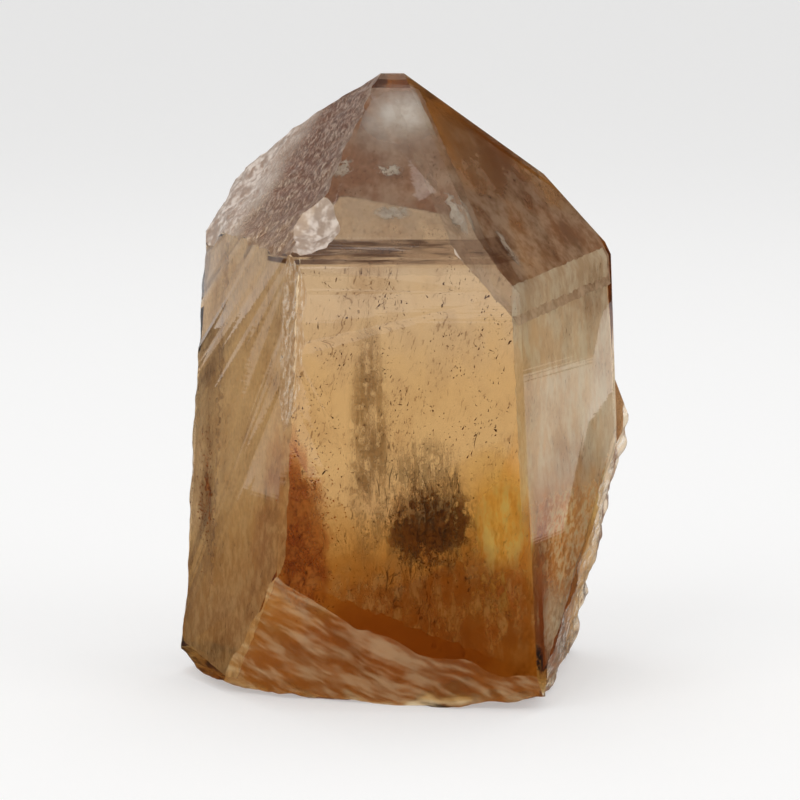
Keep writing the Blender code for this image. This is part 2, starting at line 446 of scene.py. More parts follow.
etchedFacing = outward(*wornFaces["etchedLeftEnd"]["facing"])
shoulderFacing = outward(*wornFaces["wornLeftShoulder"]["facing"])
shoulderPoint = Vector(wornFaces["wornLeftShoulder"]["point"]) + Vector(crystal["axisPlace"])
clear = {
    "top": (0.80, 0.71, 0.585),
    "middle": (0.82, 0.64, 0.38),
    "bottom": (0.62, 0.36, 0.13),
    "left": (0.74, 0.58, 0.38),
    "right": (0.95, 0.82, 0.64),
    "etched": ((0.30, 0.165, 0.09), (0.80, 0.65, 0.52)),  # hollows and crests
    "frosted": ((0.56, 0.44, 0.35), (0.86, 0.75, 0.66)),
    "broken": ((0.92, 0.62, 0.28), (1.0, 0.79, 0.45)),
    "ridged": ((0.88, 0.68, 0.48), (1.0, 0.92, 0.82)),
    "bruised": ((0.58, 0.42, 0.27), (0.93, 0.84, 0.72)),
    # painted shade on the growth steps under the front end face
    "steps": ((0.05, 0.02, 0.008), (0.38, 0.27, 0.20)),  # dark and lighter patches
    "tip": (0.97, 0.91, 0.84),
    # painted glint: a lighter gold for the clear colour low on the right, its place and reach
    "gold": (1.0, 0.84, 0.46),
    "goldPlace": (14.0, 27.4),  # x and z
    "goldRadii": (4.8, 9.4),
    "drift": 22.0,  # how far clouds shift the levels below
    "levels": {"top": (62.0, 44.0), "bottom": (34.0, 6.0)},
    "sides": {  # where each tint sets in: x from and to, z from and to
        "left": ((-17.0, -23.0), (70.0, 60.0)),
        "right": ((17.0, 21.0), (72.0, 62.0)),
        "tip": ((3.4, 1.2), (78.0, 89.0)),
    },
    "bottomFades": (19.0, 7.0, 0.2, 1.0),  # x from and to, share from and to
    # where the painted shade of the growth steps lies, and the light line low in it
    "band": {"foot": (65.3, 65.5), "head": (69.0, 68.8), "front": (-14.0, -14.4)},
    "line": {"foot": (66.05, 66.15), "head": (66.5, 66.35)},
    "marks": (0.20, 0.12, 0.06),
    "smudge": (0.66, 0.56, 0.48),
    "rough": {"etched": 0.26, "broken": 0.24, "ridged": 0.24, "frosted": 0.42, "bruised": 0.20, "base": 0.30},
    "relief": {"etched": 0.30, "broken": 0.06, "ridged": 0.10, "frosted": 0.10, "bruised": 0.22},
    "cloud": {  # what hollows and crests hide
        "etched": (0.02, 0.36), "broken": (0.03, 0.25), "ridged": (0.15, 0.42), "frosted": (0.42, 0.80),
        "bruised": (0.0, 0.30),
    },
    "grain": {  # finest size across, across and along a line
        "etched": ((2.4, 2.4, 1.0), etchedFacing.cross(shoulderFacing)),
        "broken": ((0.45, 0.45, 0.12), (1.0, 0.0, -0.45)),
        "ridged": ((1.2, 1.2, 0.35), (0.5, 0.72, 0.48)),
        "frosted": ((0.6, 0.6, 0.6), None),
        "bruised": ((2.2, 2.2, 0.6), (0.1, 0.0, 1.0)),
    },
    "ior": 1.544,
    "absorbColour": (0.85, 0.68, 0.43),
    "absorbDensity": 36.0,
}


def marksOn(g, cloud):
    # crowded strokes with clean places between them, as 0 to 1
    strokes = g.noise(g.place((2.6, 2.6, 0.8), along=(0.3, 0.0, 1.0)), detail=2.0, rough=0.62)
    return g.math("MULTIPLY", g.span(strokes, 0.59, 0.67), g.span(cloud, 0.46, 0.62))


def clearMaterial():
    g = Graph("citrine")
    place = g.place()
    x, y, z = g.split(place)
    cloud = g.noise(g.place((0.15, 0.15, 0.10)), detail=3.0, rough=0.70)
    height = g.math("ADD", z, g.math("MULTIPLY", g.math("SUBTRACT", cloud, 0.5), clear["drift"]))
    colour = g.mix(g.span(height, *clear["levels"]["top"]), clear["top"], clear["middle"])
    low = g.math("MULTIPLY", g.span(height, *clear["levels"]["bottom"]), g.span(x, *clear["bottomFades"]))
    colour = g.mix(low, colour, clear["bottom"])
    for side, (across, above) in clear["sides"].items():
        colour = g.mix(g.math("MULTIPLY", g.span(x, *across), g.span(z, *above)), colour, clear[side])
    # a painted glint of refracted light low on the right: the clear colour turns a lighter gold there, with a
    # wandering rim
    away = 0.0
    for part, middle, radius in zip((x, z), clear["goldPlace"], clear["goldRadii"]):
        offset = g.math("DIVIDE", g.math("SUBTRACT", part, middle), radius)
        away = g.math("MULTIPLY_ADD", offset, offset, away)
    colour = g.mix(g.span(g.math("MULTIPLY_ADD", cloud, 2.4, away), 2.3, 1.1), colour, clear["gold"])
    kinds = {}
    for kind in surfaceKinds[1:]:
        kinds[kind] = g.node("ShaderNodeAttribute", out=2, options={"attribute_name": kind})
    # smudges and strokes on the flat faces
    colour = g.mix(g.math("MULTIPLY", g.span(cloud, 0.46, 0.72), 0.75), colour, clear["smudge"], "MULTIPLY")
    colour = g.mix(g.math("MULTIPLY", marksOn(g, cloud), 0.85), colour, clear["marks"], "MULTIPLY")
    # painted shade: the growth steps under the front end face are darkened in their colour, in dark and
    # lighter patches, with one line low in them left light
    stepShade = 1.0
    for part, edge in ((z, "foot"), (z, "head"), (y, "front")):
        stepShade = g.math("MULTIPLY", stepShade, g.span(part, *clear["band"][edge], smooth=False))
    line = g.math("MULTIPLY", g.span(z, *clear["line"]["foot"]), g.span(z, *clear["line"]["head"]))
    patchy = g.noise(g.place((0.16, 0.16, 1.4)), detail=2.0, rough=0.62)
    line = g.math("MULTIPLY", line, g.span(patchy, 0.60, 0.42))
    stepShade = g.math("MULTIPLY", stepShade, g.math("SUBTRACT", 1.0, line))
    lighter = g.span(g.math("MULTIPLY_ADD", x, 0.012, patchy), 0.40, 0.64)
    colour = g.mix(stepShade, colour, g.mix(lighter, *clear["steps"]))
    # one grain, laid another way on each kind of worn or broken surface
    laid = g.place((0.02, 0.02, 0.02))
    for kind, (size, along) in clear["grain"].items():
        laid = g.choose(kinds[kind], laid, g.place(size, along=along))
    pattern = g.noise(laid, detail=2.0, rough=0.78)
    # the worn shoulder's frosting spreads a little way over the etched face beside it
    beside = g.math("SUBTRACT", shoulderPoint.dot(shoulderFacing), g.dot(place, shoulderFacing))
    near = g.span(g.math("MULTIPLY_ADD", g.math("SUBTRACT", pattern, 0.5), 2.6, beside), 1.2, 0.5)
    spread = g.math("MULTIPLY", kinds["etched"], near)
    kinds["frosted"] = g.math("ADD", kinds["frosted"], spread)
    kinds["etched"] = g.math("SUBTRACT", kinds["etched"], spread)
    crests = g.span(pattern, 0.40, 0.66)
    bright = g.span(pattern, 0.38, 0.70)
    ripple = g.noise(g.place((0.02, 0.02, 1.6)), detail=1.0, rough=0.70)  # level striations on the prism
    hides, rough, relief = 0.0, 0.015, g.math("MULTIPLY", ripple, 0.008)
    for kind in clear["grain"]:
        colour = g.mix(g.math("MULTIPLY", kinds[kind], 0.9), colour, g.mix(crests, *clear[kind]))
        cloudy = g.span(bright, 0.0, 1.0, *clear["cloud"][kind], smooth=False)
        hides = g.math("MULTIPLY_ADD", kinds[kind], cloudy, hides)
        rough = g.math("MULTIPLY_ADD", kinds[kind], clear["rough"][kind], rough)
        grains = g.math("MULTIPLY", kinds[kind], pattern)
        relief = g.math("MULTIPLY_ADD", grains, clear["relief"][kind], relief)
    rough = g.math("MULTIPLY_ADD", kinds["base"], clear["rough"]["base"], rough)
    bump = g.node("ShaderNodeBump", Height=relief, Distance=1.0 * mm, Strength=1.0)
    shader = g.node(
        "ShaderNodeBsdfPrincipled", Base_Color=colour, Roughness=rough, IOR=clear["ior"],
        Transmission_Weight=g.math("SUBTRACT", 1.0, hides), Normal=bump,
    )
    volume = g.node("ShaderNodeVolumeAbsorption", Color=clear["absorbColour"], Density=clear["absorbDensity"])
    return g.finish(shader, volume)


body.data.materials.append(clearMaterial())
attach(body, "root")
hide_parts("citrine_crystal")
print("crystal dressed")

# What grew inside it: colour zones are closed bodies that only absorb, with no edge of their own

amber = {
    "shrink": 0.978,
    "heart": (0.0, 1.0, 36.0),
    "level": 22.0,
    "slope": (0.42, 0.32),
    "paleFrom": 15.0,  # to the right of this the zone's top falls away
    "paleSlope": 1.7,
    "wave": 5.0,
    "waveSize": 17.0,
    "absorbColour": (0.76, 0.57, 0.10),
    "absorbDensity": 100.0,
}
zones = {
    "dark_core": {
        "material": "coreZone", "centre": (3.2, 0.0, 26.0), "radii": (4.4, 4.4, 5.8), "seed": 2.0,
        "swell": 0.8, "grain": 2.2, "absorbColour": (0.6, 0.36, 0.08), "absorbDensity": 150.0,
    },
    "smoky_band": {
        "material": "bandZone", "centre": (-4.5, 1.0, 39.5), "radii": (1.3, 4.0, 15.0), "seed": 5.0,
        "swell": 0.5, "grain": 1.9, "absorbColour": (0.35, 0.3, 0.4), "absorbDensity": 30.0,
    },
    "rust_zone": {
        "material": "rustZone", "centre": (-15.6, -11.5, 26.0), "radii": (4.0, 5.0, 10.0), "seed": 8.0,
        "swell": 0.8, "grain": 1.9, "absorbColour": (0.7, 0.36, 0.06), "absorbDensity": 260.0,
    },
    "gold_zone": {
        "material": "goldZone", "centre": (15.0, -6.0, 22.0), "radii": (4.6, 7.0, 13.0), "seed": 4.0,
        "swell": 0.6, "grain": 1.5, "absorbColour": (0.99, 0.66, 0.08), "absorbDensity": 70.0,
    },
}
dice = random.Random(11)


def keep(name, made, material):
    made.name = name
    made.data.materials.clear()
    made.data.materials.append(material)
    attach(made, "root")
    return made


def zoneMaterial(name, look):
    g = Graph(name)
    surface = g.node(
        "ShaderNodeBsdfPrincipled", Base_Color=(1.0, 1.0, 1.0), Roughness=0.0, IOR=1.0,
        Transmission_Weight=1.0,
    )
    volume = g.node("ShaderNodeVolumeAbsorption", Color=look["absorbColour"], Density=look["absorbDensity"])
    return g.finish(surface, volume)


def shrunkCrystal():
    made = addObject("shrunk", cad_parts["citrine_crystal"].data.copy())
    heart = Vector(amber["heart"]) * mm
    for vert in made.data.vertices:
        vert.co = heart + (vert.co - heart) * amber["shrink"]
    return made


def sheetAbove(height, span=80.0, cell=2.5, roof=130.0):
    # a closed block whose underside is the height at (x, y)
    count = round(span / cell)
    mesh = bmesh.new()
    grid = []
    for row in range(count + 1):
        line = []
        for column in range(count + 1):
            x, y = column * cell - span / 2, row * cell - span / 2
            line.append(mesh.verts.new(Vector((x, y, height(x, y))) * mm))
        grid.append(line)
    for lower, upper in zip(grid, grid[1:]):
        for quad in zip(lower, lower[1:], upper[1:], upper):
            mesh.faces.new(quad)
    rim = [edge for edge in mesh.edges if edge.is_boundary]
    walls = bmesh.ops.extrude_edge_only(mesh, edges=rim)["geom"]
    for vert in (part for part in walls if isinstance(part, bmesh.types.BMVert)):
        vert.co.z = roof * mm
    bmesh.ops.contextual_create(mesh, geom=[edge for edge in mesh.edges if edge.is_boundary])
    bmesh.ops.triangulate(mesh, faces=mesh.faces)
    return meshObject("sheetAbove", mesh)


def amberTop(x, y):
    slopeX, slopeY = amber["slope"]
    paleSide = amber["paleSlope"] * max(0.0, x - amber["paleFrom"])
    wave = amber["wave"] * fractal((x, y), amber["waveSize"], 3, 3.3)
    return amber["level"] + slopeX * x + slopeY * y - paleSide + wave


def amberZone():
    zone = shrunkCrystal()
    cutter = sheetAbove(amberTop)
    step = zone.modifiers.new("cut", "BOOLEAN")
    step.operation = "DIFFERENCE"
    step.solver = "EXACT"
    step.object = cutter
    applied(zone)
    bpy.data.objects.remove(cutter)
    keep("amber_zone", zone, zoneMaterial("amberZone", amber))


def lump(name, look):
    shift = Vector((look["seed"], 0, look["seed"]))
    mesh = bmesh.new()
    bmesh.ops.create_icosphere(mesh, subdivisions=5, radius=1.0)
    for vert in mesh.verts:
        size = 1.0 + look["swell"] * noise.fractal(vert.co * look["grain"] + shift, 0.9, 2.1, 4)
        reach = Vector([radius * part * size for radius, part in zip(look["radii"], vert.co)])
        vert.co = (Vector(look["centre"]) + reach) * mm
    keep(name, meshObject(name, mesh), zoneMaterial(look["material"], look))


# The flat and worn faces as planes, so that what lies inside stays inside

def innerPlanes():
    planes = []
    for azimuth, taper, distance in crystal["prismFaces"].values():
        direction = outward(azimuth, taper)
        level = Vector((direction.x, direction.y, 0)).normalized()
        planes.append((level * distance, direction))
    for azimuth, crossing in ((0.0, crystal["frontEndCrossing"]),) + crystal["endFaces"]:
        planes.append((Vector((0, 0, crossing)), outward(azimuth, crystal["rhombRise"])))
    for face in wornFaces.values():
        if face["reach"] is not None:
            direction = outward(*face["facing"])
            planes.append((Vector(face["point"]) - direction * face["reach"], direction))
    return planes


innerFaces = innerPlanes()


def within(spot, inset):
    # whether a point lies inside the crystal by at least the inset
    place = spot - Vector(crystal["axisPlace"])
    return all((place - point).dot(direction) < -inset for point, direction in innerFaces)


# Fine dark matter: flecks spread through the clear part, and fibres that hang round the core

flecks = {
    "count": 2300,
    "box": ((-18.0, 18.0), (-20.3, 19.0), (14.0, 66.0)),
    "size": (0.06, 0.21),
    "colour": (0.15, 0.075, 0.03),
}
fibres = {
    "count": 170,
    "centre": (3.2, -5.0, 27.0),
    "spread": (3.8, 4.5, 4.6),
    "crowd": 0.04,
    "colour": (0.10, 0.045, 0.015),
}


def plainMaterial(name, colour, rough=0.6):
    g = Graph(name)
    tone = g.noise(g.place((0.4, 0.4, 0.4)), detail=2.0)
    shade = g.mix(tone, tuple(0.5 * part for part in colour), tuple(1.8 * part for part in colour))
    return g.finish(g.node("ShaderNodeBsdfPrincipled", Base_Color=shade, Roughness=rough))


def fleckSwarm():
    mesh = bmesh.new()
    made = 0
    while made < flecks["count"]:
        spot = Vector([dice.uniform(*limits) for limits in flecks["box"]])
        crowd = noise.fractal(Vector((spot.x / 5.0, spot.y / 12.0, spot.z / 7.0)), 0.9, 2.1, 4)
        if dice.random() > 0.03 + 2.2 * max(0.0, crowd - 0.12):
            continue
        size = flecks["size"][0] + (flecks["size"][1] - flecks["size"][0]) * dice.random() ** 2.5
        lengthwise = Vector((dice.gauss(0.3, 0.5), dice.gauss(0, 0.4), 1.0)).normalized()
        if dice.random() < 0.4:
            lengthwise = Vector((dice.gauss(0, 1), dice.gauss(0, 1), dice.gauss(0, 1))).normalized()
        side = lengthwise.orthogonal().normalized()
        third = lengthwise.cross(side)
        stretch = 1.0 + 3.6 * dice.random() ** 2
        corners = [
            spot + lengthwise * size * stretch,
            spot + side * size * dice.uniform(0.4, 1.0) + third * size * 0.2,
            spot - lengthwise * size * dice.uniform(0.5, 1.0),
            spot - side * size * 0.3 + third * size * dice.uniform(0.3, 0.8),
        ]
        verts = [mesh.verts.new(corner * mm) for corner in corners]
        for trio in ((0, 1, 3), (1, 2, 3), (2, 0, 3), (0, 2, 1)):
            mesh.faces.new([verts[index] for index in trio])
        made += 1
    keep("brown_flecks", meshObject("flecks", mesh), plainMaterial("fleckBrown", flecks["colour"]))


def fibre(mesh, start, direction, length, radius, bend, rings=4):
    side = direction.orthogonal().normalized()
    third = direction.cross(side)
    rows = []
    for ring in range(rings + 1):
        t = ring / rings
        middle = start + direction * length * t + bend * math.sin(math.pi * t)
        width = radius * (1.0 - 0.85 * abs(2 * t - 1) ** 2)
        rows.append([
            mesh.verts.new((middle + (side * math.cos(a) + third * math.sin(a)) * width) * mm)
            for a in (0.0, 2.094, 4.189)
        ])
    for lower, upper in zip(rows, rows[1:]):
        for index in range(3):
            after = (index + 1) % 3
            mesh.faces.new((lower[index], lower[after], upper[after], upper[index]))
    mesh.faces.new(rows[0][::-1])
    mesh.faces.new(rows[-1])


def darkFibres():
    mesh = bmesh.new()
    made = 0
    while made < fibres["count"]:
        spot = Vector([dice.gauss(middle, wide) for middle, wide in zip(fibres["centre"], fibres["spread"])])
        spot.y = min(max(spot.y, -15.0), 12.0)
        if noise.fractal(Vector((spot.x / 2.6, spot.y / 8.0, spot.z / 7.0)), 0.9, 2.1, 3) < fibres["crowd"]:
            continue
        made += 1
        direction = Vector((dice.gauss(0, 0.16), dice.gauss(0, 0.12), 1.0)).normalized()
        bend = Vector((dice.gauss(0, 0.3), dice.gauss(0, 0.3), 0.0))
        length = dice.uniform(0.8, 4.0)
        fibre(mesh, spot - direction * length / 2, direction, length, dice.uniform(0.02, 0.08), bend)
    keep("dark_fibres", meshObject("fibres", mesh), plainMaterial("fibreBrown", fibres["colour"]))


# Clusters of platelets: rust along the lower left edge, soot round the core

platelets = {
    "rust_grains": {
        "colour": (0.50, 0.15, 0.02), "count": 900, "size": (0.06, 0.22), "centre": (-14.6, -14.0, 26.5),
        "spread": (2.4, 2.4, 5.6), "ragged": 0.30,
    },
    "left_rust": {
        "colour": (0.34, 0.12, 0.02), "count": 900, "size": (0.08, 0.26), "centre": (-29.6, 1.0, 28.0),
        "spread": (0.9, 2.4, 4.6), "ragged": 0.3,
    },
    "core_soot": {
        "colour": (0.10, 0.04, 0.01), "count": 900, "size": (0.05, 0.20), "centre": (3.8, -4.0, 25.0),
        "spread": (3.2, 3.0, 3.4), "ragged": 0.05,
    },
    "core_dust": {
        "colour": (0.20, 0.11, 0.05), "count": 900, "size": (0.04, 0.14), "centre": (2.2, -6.0, 31.0),
        "spread": (5.2, 4.0, 6.2), "ragged": 0.05,
    },
}


def plateletCluster(name, look):
    mesh = bmesh.new()
    made = 0
    while made < look["count"]:
        spot = Vector([dice.gauss(middle, wide) for middle, wide in zip(look["centre"], look["spread"])])
        if not within(spot, 0.4):
            continue
        crowd = noise.fractal(Vector((spot.x / 3.0, spot.y / 3.0, spot.z / 5.0)), 0.9, 2.1, 3)
        if crowd < dice.gauss(0.0, look["ragged"]):
            continue
        size = dice.uniform(*look["size"])
        facing = Vector((dice.gauss(0, 1), dice.gauss(0, 1), dice.gauss(0, 0.5))).normalized()
        side = facing.orthogonal().normalized()
        third = facing.cross(side)
        turn = dice.uniform(0, math.pi)
        corners = []
        for index in range(4):
            angle = turn + index * math.pi / 2 + dice.gauss(0, 0.25)
            reach = size * dice.uniform(0.5, 1.2)
            corner = spot + side * math.cos(angle) * reach + third * math.sin(angle) * reach
            corners.append(mesh.verts.new(corner * mm))
        mesh.faces.new(corners)
        made += 1
    keep(name, meshObject(name, mesh), plainMaterial(name, look["colour"]))


# Veils and feathers: thin crumpled sheets, some wide and faint behind a face, some small and white; one gold
# sheet is a painted glint and one white sheet at the apex a painted reflection

upright = (0.0, 0.0, 1.0)
rising = (0.82, 0.25, 0.57)
sheets = {
    "cell": 0.45,
    "cloudShare": 0.35,  # the rest of a sheet's pattern is its own grain
    "fade": 0.5,  # width of the rim's fade
    "tones": (0.38, 0.64),
    "rough": 0.7,
    "bump": 0.8,
    "bumpAbove": 0.1,  # sheets more ragged than this get a bump
}
filmUsual = {  # what a film has where its entry names nothing else
    "inset": 0.9,  # least distance from the crystal's faces
    "along": upright,  # line of the long grain
    "ragged": 0.03,  # how much thinner it gets towards its rim
    "rim": 0.5,  # where the sheet starts to fade, as a share of its half spans
    "gather": (-20.0, 0.0),  # heights from which and to which it sets in
}
feather = {  # what the white feathers share
    "crumple": 0.8, "deep": (0.82, 0.76, 0.72), "pale": (1.0, 1.0, 1.0), "limits": (0.33, 0.43),
    "ragged": 0.16, "rim": 0.35,
}
films = {
    "front_end_veil": {
        "centre": (0.0, -8.5, 78.4), "facing": (0.0, 38.2), "spans": (46.0, 38.0), "crumple": 0.2,
        "deep": (0.54, 0.40, 0.31), "pale": (0.72, 0.59, 0.50), "cover": (0.45, 0.75),
        "grain": (0.25, 0.25, 0.18), "limits": (0.36, 0.62), "rim": 1.6, "gather": (60.0, 72.0),
    },
    # a white sheet at the apex that stands in for soft light reflected on the end faces: a painted reflection
    "tip_painted_reflection": {
        "centre": (-0.8, -4.6, 84.8), "facing": (4.0, 38.0), "spans": (27.0, 26.0), "crumple": 0.3,
        "deep": (0.96, 0.92, 0.88), "pale": (1.0, 1.0, 1.0), "cover": (0.7, 1.0),
        "grain": (0.3, 0.3, 0.3), "limits": (0.28, 0.66), "rim": 0.1, "gather": (76.0, 87.0),
    },
    "right_end_veil": {
        "centre": (11.7, -6.8, 70.4), "facing": (60.0, 38.2), "spans": (60.0, 52.0), "crumple": 0.2,
        "inset": 0.4, "deep": (0.56, 0.41, 0.31), "pale": (0.90, 0.76, 0.64), "cover": (0.5, 0.8),
        "grain": (0.22, 0.22, 0.22), "limits": (0.36, 0.62), "rim": 1.6, "gather": (94.0, 60.0),
    },
    "left_veil": {
        "centre": (-21.6, -12.5, 40.0), "facing": (300.0, 3.3), "spans": (40.0, 76.0), "crumple": 0.2,
        "inset": 0.4, "deep": (0.82, 0.60, 0.36), "pale": (1.0, 0.80, 0.52), "cover": (0.55, 0.82),
        "grain": (0.7, 0.7, 0.4), "limits": (0.32, 0.68), "rim": 1.6,
    },
    "left_edge_veil": {
        "centre": (-27.4, -1.8, 46.0), "facing": (285.0, 3.3), "spans": (13.0, 70.0), "crumple": 0.5,
        "deep": (0.62, 0.45, 0.31), "pale": (0.90, 0.71, 0.52), "cover": (0.4, 0.8),
        "grain": (0.9, 0.9, 0.4), "limits": (0.38, 0.62), "rim": 0.6,
    },
    "right_veil": {
        "centre": (21.3, -10.6, 40.0), "facing": (63.5, 3.2), "spans": (44.0, 76.0), "crumple": 0.15,
        "inset": 0.4, "deep": (0.93, 0.78, 0.60), "pale": (1.0, 0.97, 0.86), "cover": (0.62, 0.88),
        "grain": (0.4, 0.4, 0.2), "limits": (0.34, 0.66), "rim": 1.6, "gather": (26.0, 36.0),
    },
    "orange_streaks": {
        "centre": (25.0, -4.3, 25.5), "facing": (63.5, 3.2), "spans": (36.0, 31.0), "crumple": 0.25,
        "inset": 0.4, "deep": (1.0, 0.50, 0.13), "pale": (1.0, 0.88, 0.60), "cover": (0.55, 1.0),
        "grain": (1.1, 1.1, 0.10), "along": rising, "limits": (0.38, 0.56), "rim": 0.55,
    },
    # a bright gold sheet that stands in for a glint of refracted light: a painted glint
    "painted_glint_film": {
        "centre": (14.0, -18.4, 27.2), "facing": (10.0, 2.0), "spans": (15.0, 26.0), "crumple": 0.4,
        "deep": (1.0, 0.58, 0.13), "pale": (1.0, 0.82, 0.36), "cover": (0.75, 1.0),
        "grain": (0.7, 0.7, 0.16), "limits": (0.37, 0.49), "ragged": 0.1, "rim": 0.25,
    },
    "left_rust_veil": {
        "centre": (-29.5, 0.0, 28.5), "facing": (287.0, 0.0), "spans": (7.0, 15.0), "crumple": 0.3,
        "deep": (0.46, 0.15, 0.03), "pale": (0.80, 0.38, 0.12), "cover": (0.4, 0.98),
        "grain": (0.8, 0.8, 0.4), "limits": (0.36, 0.56), "ragged": 0.05, "rim": 0.45,
    },
    "low_veil": {
        "centre": (4.0, -19.6, 16.0), "facing": (0.0, 1.4), "spans": (44.0, 26.0), "crumple": 0.3,
        "deep": (0.72, 0.46, 0.20), "pale": (1.0, 0.82, 0.54), "cover": (0.16, 0.55),
        "grain": (0.7, 0.7, 0.3), "limits": (0.40, 0.62), "gather": (28.0, 14.0),
    },
    "right_low_haze": {
        "centre": (24.8, -5.9, 12.0), "facing": (63.5, 3.2), "spans": (26.0, 26.0), "crumple": 0.25,
        "inset": 0.4, "deep": (0.95, 0.78, 0.62), "pale": (1.0, 0.98, 0.94), "cover": (0.7, 1.0),
        "grain": (1.2, 1.2, 0.35), "along": rising, "limits": (0.36, 0.56), "rim": 0.7,
        "gather": (24.0, 12.0),
    },
    "gold_trail": {
        "centre": (12.5, -16.5, 20.5), "facing": (350.0, 0.0), "spans": (15.0, 20.0), "crumple": 1.2,
        "deep": (0.84, 0.50, 0.14), "pale": (1.0, 0.86, 0.46), "cover": (0.1, 0.85),
        "grain": (0.8, 0.8, 0.2), "along": (-0.25, 0.0, 1.0), "limits": (0.44, 0.62),
    },
    "grey_fan": {
        "centre": (2.8, -15.0, 33.5), "facing": (0.0, 0.0), "spans": (15.0, 17.0), "crumple": 1.0,
        "deep": (0.42, 0.30, 0.19), "pale": (0.80, 0.66, 0.48), "cover": (0.05, 0.8),
        "grain": (1.5, 1.5, 0.16), "limits": (0.34, 0.54), "ragged": 0.12, "rim": 0.45,
    },
    "core_veil": {
        "centre": (4.0, -9.0, 26.5), "facing": (0.0, 0.0), "spans": (19.0, 17.0), "crumple": 1.2,
        "deep": (0.10, 0.04, 0.008), "pale": (0.42, 0.20, 0.04), "cover": (0.1, 0.95),
        "grain": (0.9, 0.9, 0.3), "limits": (0.28, 0.42), "ragged": 0.24,
    },
    "smoky_veil": {
        "centre": (-5.0, -12.0, 38.5), "facing": (0.0, 0.0), "spans": (7.0, 44.0), "crumple": 0.8,
        "deep": (0.30, 0.18, 0.08), "pale": (0.72, 0.54, 0.34), "cover": (0.0, 0.85),
        "grain": (0.8, 0.8, 0.06), "limits": (0.38, 0.58),
    },
    "rust_veil": {
        "centre": (-14.8, -18.2, 25.0), "facing": (335.0, 0.0), "spans": (9.0, 28.0), "crumple": 0.8,
        "deep": (0.52, 0.17, 0.03), "pale": (0.90, 0.42, 0.12), "cover": (0.2, 0.9),
        "grain": (0.5, 0.5, 0.35), "limits": (0.34, 0.58),
    },
    "feather_high": {
        "centre": (-2.7, -10.2, 78.0), "facing": (352.0, 42.0), "spans": (6.4, 3.4),
        **feather, "cover": (0.0, 1.0), "grain": (1.5, 1.5, 1.5),
    },
    "feather_mid": {
        "centre": (-2.1, -14.9, 72.1), "facing": (6.0, 38.0), "spans": (8.0, 3.2),
        **feather, "cover": (0.0, 0.95), "grain": (1.7, 1.7, 0.8), "along": (-1.0, 0.0, 0.6),
    },
    "feather_right": {
        "centre": (7.2, -14.9, 72.2), "facing": (45.0, 38.0), "spans": (4.2, 11.0),
        **feather, "cover": (0.0, 0.95), "grain": (1.6, 1.6, 0.7), "along": (0.45, 0.0, -1.0),
    },
    "feather_low": {
        "centre": (13.8, -12.0, 66.6), "facing": (60.0, 38.0), "spans": (3.4, 9.0),
        **feather, "cover": (0.0, 0.9), "grain": (1.7, 1.7, 0.7), "along": (0.6, 0.0, -1.0),
    },
    "feather_left": {
        "centre": (-9.3, -10.0, 78.3), "facing": (345.0, 38.0), "spans": (5.0, 5.6),
        **feather, "cover": (0.0, 0.95), "grain": (1.4, 1.4, 1.4),
    },
}


def filmMaterial(name, look):
    g = Graph(name)
    u, v, _ = g.split(g.node("ShaderNodeAttribute", out=1, options={"attribute_name": "sheet"}))
    _, _, z = g.split(g.place())
    cloud = g.noise(g.place((0.16, 0.16, 0.16)), detail=2.0, rough=0.62)
    grain = g.noise(g.place(look["grain"], along=look["along"]), detail=3.0, rough=0.68)
    away = g.math("SQRT", g.math("ADD", g.math("MULTIPLY", u, u), g.math("MULTIPLY", v, v)))
    clouds = g.math("MULTIPLY", cloud, sheets["cloudShare"])
    field = g.math("MULTIPLY_ADD", grain, 1.0 - sheets["cloudShare"], clouds)
    thinner = g.math("MULTIPLY", g.span(away, 0.0, 1.0, smooth=False), look["ragged"])
    cover = g.span(g.math("SUBTRACT", field, thinner), *look["limits"], *look["cover"])
    cover = g.math("MULTIPLY", cover, g.span(away, look["rim"] + sheets["fade"], look["rim"]))
    cover = g.math("MULTIPLY", cover, g.span(z, *look["gather"]))
    tone = g.mix(g.span(grain, *sheets["tones"]), look["deep"], look["pale"])
    inputs = {"Base_Color": tone, "Roughness": sheets["rough"], "Alpha": cover}
    if look["ragged"] > sheets["bumpAbove"]:
        bump = g.node("ShaderNodeBump", Height=grain, Distance=sheets["bump"] * mm, Strength=sheets["bump"])
        inputs["Normal"] = bump
    return g.finish(g.node("ShaderNodeBsdfPrincipled", **inputs))


def film(name, look):
    direction = outward(*look["facing"])
    turn = math.radians(look["facing"][0])
    across = Vector((math.cos(turn), math.sin(turn), 0))
    upwards = direction.cross(across)
    mesh = bmesh.new()
    layer = mesh.verts.layers.float_vector.new("sheet")
    width, height = look["spans"]
    columns, rows = (max(8, round(span / sheets["cell"])) for span in look["spans"])
    grid = []
    for row in range(rows + 1):
        line = []
        for column in range(columns + 1):
            u, v = 2 * column / columns - 1, 2 * row / rows - 1
            spot = Vector(look["centre"]) + across * u * width / 2 + upwards * v * height / 2
            lift = fractal((u * width, v * height), 2.6, 3, look["centre"][2])
            vert = mesh.verts.new((spot + direction * look["crumple"] * lift) * mm)
            vert[layer] = Vector((u, v, 0.0))
            line.append(vert)
        grid.append(line)
    for lower, upper in zip(grid, grid[1:]):
        for quad in zip(lower, lower[1:], upper[1:], upper):
            mesh.faces.new(quad)
    for point, side in innerFaces:
        parts = list(mesh.verts) + list(mesh.edges) + list(mesh.faces)
        spot = (point + Vector(crystal["axisPlace"]) - side * look["inset"]) * mm
        bmesh.ops.bisect_plane(mesh, geom=parts, plane_co=spot, plane_no=side, clear_outer=True, dist=1e-7)
    made = meshObject(name, mesh)
    made.data.polygons.foreach_set("use_smooth", [True] * len(made.data.polygons))
    keep(name, made, filmMaterial(name, look))


amberZone()
for name, look in zones.items():
    lump(name, look)
fleckSwarm()
darkFibres()
for name, look in platelets.items():
    plateletCluster(name, look)
for name, look in films.items():
    film(name, {**filmUsual, **look})
print("inner zones, flecks and fibres set")

# The room: a pale round bowl, soft lights and the camera at the photograph's angle

